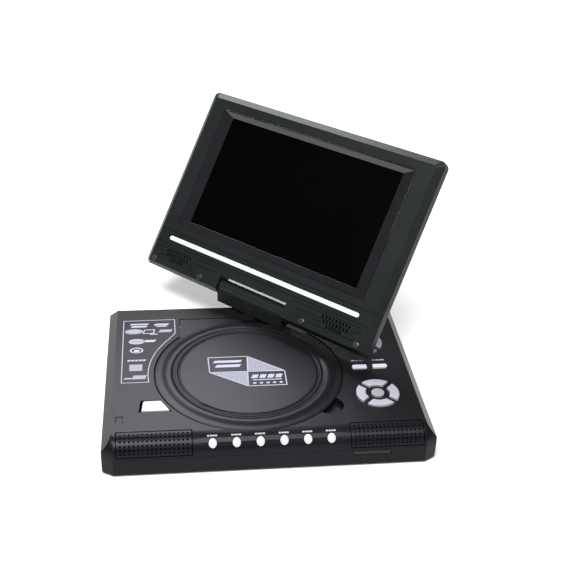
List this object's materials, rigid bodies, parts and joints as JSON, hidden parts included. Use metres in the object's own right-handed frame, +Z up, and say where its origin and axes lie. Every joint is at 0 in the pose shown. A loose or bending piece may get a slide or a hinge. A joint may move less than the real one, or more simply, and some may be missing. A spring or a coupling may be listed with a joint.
{
  "type": "portable DVD player",
  "caption": "Portable disc player: flat base with a round disc lid, keys and speaker grilles, and a wide screen on a swivel and tilt hinge, shown swivelled and laid back.",
  "frame": {"origin": "centre of the flat underside of the base's bottom cover, which stands 1.5 mm above the surface on four feet", "axes": "+X towards the base's right side, +Y towards its rear, +Z up"},
  "size_m": [0.2668, 0.3076, 0.1715],
  "materials": {
    "housing": "fine matte grain with a faint sheen, near-black charcoal",
    "screen_shell": "satin charcoal plastic",
    "key": "satin white plastic with a cool cast",
    "panel": "unlit display, black and smooth",
    "trim": "silver-painted plastic strip",
    "steel": "plain satin steel",
    "rubber": "matte black rubber",
    "board": "green laminated circuit board",
    "inner": "dark grey moulded plastic",
    "cell": "shrink-wrapped battery cells",
    "cone": "black paper cone in a plastic basket",
    "lens": "small coated pickup lens",
    "window": "dark red infrared window"
  },
  "bodies": {
    "base": {"base_top_cover": "housing", "base_bottom_cover": "housing", "drive_chassis": "steel", "spindle_motor": "steel", "guide_rail_front": "steel", "guide_rail_rear": "steel", "sled_motor": "steel", "main_board": "board", "key_board": "board", "battery_pack": "cell", "speaker_left": "cone", "speaker_right": "cone", "speaker_grille_left": "housing", "speaker_grille_right": "housing", "card_socket": "steel", "dc_socket": "inner", "headphone_socket": "inner", "remote_window": "window", "foot_front_left": "rubber", "foot_front_right": "rubber", "foot_rear_left": "rubber", "foot_rear_right": "rubber", "lid_hinge_pin": "steel"},
    "lid": {"disc_lid": "housing"},
    "lid_release": {"lid_release_key": "key"},
    "turntable": {"disc_turntable": "inner"},
    "sled": {"pickup_sled": "inner", "pickup_lens": "lens"},
    "lead_screw": {"lead_screw": "steel"},
    "power_switch": {"power_switch": "inner"},
    "front_key_1": {"front_key_1": "key"},
    "front_key_2": {"front_key_2": "key"},
    "front_key_3": {"front_key_3": "key"},
    "front_key_4": {"front_key_4": "key"},
    "front_key_5": {"front_key_5": "key"},
    "front_key_6": {"front_key_6": "key"},
    "upper_key_up": {"upper_key_up": "key"},
    "upper_key_down": {"upper_key_down": "key"},
    "upper_key_left": {"upper_key_left": "key"},
    "upper_key_right": {"upper_key_right": "key"},
    "upper_key_centre": {"upper_key_centre": "key"},
    "lower_key_up": {"lower_key_up": "key"},
    "lower_key_down": {"lower_key_down": "key"},
    "lower_key_left": {"lower_key_left": "key"},
    "lower_key_right": {"lower_key_right": "key"},
    "lower_key_centre": {"lower_key_centre": "key"},
    "bar_key_left": {"bar_key_left": "key"},
    "bar_key_right": {"bar_key_right": "key"},
    "swivel": {"swivel_block": "screen_shell", "swivel_retainer": "steel", "tilt_hinge_pin": "steel"},
    "screen": {"screen_front_frame": "screen_shell", "screen_rear_cover": "screen_shell", "display_panel": "panel", "silver_strip": "trim", "screen_board": "board", "screen_pad_outer_left": "rubber", "screen_pad_inner_left": "rubber", "screen_pad_inner_right": "rubber", "screen_pad_outer_right": "rubber"}
  },
  "joints": [
    {"name": "screen_swivel", "type": "hinge", "parent": "base", "child": "swivel", "pos_m": [0, 0.0707, 0.042], "axis": [0, 0, -1], "range_deg": [-43.5, 136.5]},
    {"name": "screen_tilt", "type": "hinge", "parent": "swivel", "child": "screen", "pos_m": [0, 0.0707, 0.042], "axis": [0.7254, -0.6884, 0], "range_deg": [-54, 126]},
    {"name": "lid_hinge", "type": "hinge", "parent": "base", "child": "lid", "pos_m": [-0.0105, 0.0592, 0.024], "axis": [1, 0, 0], "range_deg": [-8, 0]},
    {"name": "lid_release_press", "type": "slide", "parent": "base", "child": "lid_release", "axis": [0, 0, -1], "range_m": [0, 0.0006], "stiffness_N_per_m": 700},
    {"name": "power_switch_slide", "type": "slide", "parent": "base", "child": "power_switch", "axis": [0, 1, 0], "range_m": [0, 0.004]},
    {"name": "turntable_spin", "type": "hinge", "parent": "base", "child": "turntable", "pos_m": [-0.0105, -0.009, 0.0161], "axis": [0, 0, 1], "continuous": true},
    {"name": "sled_slide", "type": "slide", "parent": "base", "child": "sled", "axis": [1, 0, 0], "range_m": [0, 0.034]},
    {"name": "lead_screw_turn", "type": "hinge", "parent": "base", "child": "lead_screw", "pos_m": [-0.0085, -0.035, 0.009], "axis": [1, 0, 0], "range_deg": [-10, 4100]},
    {"name": "front_key_1_press", "type": "slide", "parent": "base", "child": "front_key_1", "axis": [0, 0.7431, -0.6691], "range_m": [0, 0.0006], "stiffness_N_per_m": 700},
    {"name": "front_key_2_press", "type": "slide", "parent": "base", "child": "front_key_2", "axis": [0, 0.7431, -0.6691], "range_m": [0, 0.0006], "stiffness_N_per_m": 700},
    {"name": "front_key_3_press", "type": "slide", "parent": "base", "child": "front_key_3", "axis": [0, 0.7431, -0.6691], "range_m": [0, 0.0006], "stiffness_N_per_m": 700},
    {"name": "front_key_4_press", "type": "slide", "parent": "base", "child": "front_key_4", "axis": [0, 0.7431, -0.6691], "range_m": [0, 0.0006], "stiffness_N_per_m": 700},
    {"name": "front_key_5_press", "type": "slide", "parent": "base", "child": "front_key_5", "axis": [0, 0.7431, -0.6691], "range_m": [0, 0.0006], "stiffness_N_per_m": 700},
    {"name": "front_key_6_press", "type": "slide", "parent": "base", "child": "front_key_6", "axis": [0, 0.7431, -0.6691], "range_m": [0, 0.0006], "stiffness_N_per_m": 700},
    {"name": "upper_key_up_press", "type": "slide", "parent": "base", "child": "upper_key_up", "axis": [0, 0, -1], "range_m": [0, 0.0006], "stiffness_N_per_m": 700},
    {"name": "upper_key_down_press", "type": "slide", "parent": "base", "child": "upper_key_down", "axis": [0, 0, -1], "range_m": [0, 0.0006], "stiffness_N_per_m": 700},
    {"name": "upper_key_left_press", "type": "slide", "parent": "base", "child": "upper_key_left", "axis": [0, 0, -1], "range_m": [0, 0.0006], "stiffness_N_per_m": 700},
    {"name": "upper_key_right_press", "type": "slide", "parent": "base", "child": "upper_key_right", "axis": [0, 0, -1], "range_m": [0, 0.0006], "stiffness_N_per_m": 700},
    {"name": "upper_key_centre_press", "type": "slide", "parent": "base", "child": "upper_key_centre", "axis": [0, 0, -1], "range_m": [0, 0.0006], "stiffness_N_per_m": 700},
    {"name": "lower_key_up_press", "type": "slide", "parent": "base", "child": "lower_key_up", "axis": [0, 0, -1], "range_m": [0, 0.0006], "stiffness_N_per_m": 700},
    {"name": "lower_key_down_press", "type": "slide", "parent": "base", "child": "lower_key_down", "axis": [0, 0, -1], "range_m": [0, 0.0006], "stiffness_N_per_m": 700},
    {"name": "lower_key_left_press", "type": "slide", "parent": "base", "child": "lower_key_left", "axis": [0, 0, -1], "range_m": [0, 0.0006], "stiffness_N_per_m": 700},
    {"name": "lower_key_right_press", "type": "slide", "parent": "base", "child": "lower_key_right", "axis": [0, 0, -1], "range_m": [0, 0.0006], "stiffness_N_per_m": 700},
    {"name": "lower_key_centre_press", "type": "slide", "parent": "base", "child": "lower_key_centre", "axis": [0, 0, -1], "range_m": [0, 0.0006], "stiffness_N_per_m": 700},
    {"name": "bar_key_left_press", "type": "slide", "parent": "base", "child": "bar_key_left", "axis": [0, 0, -1], "range_m": [0, 0.0006], "stiffness_N_per_m": 700},
    {"name": "bar_key_right_press", "type": "slide", "parent": "base", "child": "bar_key_right", "axis": [0, 0, -1], "range_m": [0, 0.0006], "stiffness_N_per_m": 700}
  ],
  "couplings": [
    {"joint": "lead_screw_turn", "follows": "sled_slide", "rad_per_m": 2094.4}
  ]
}
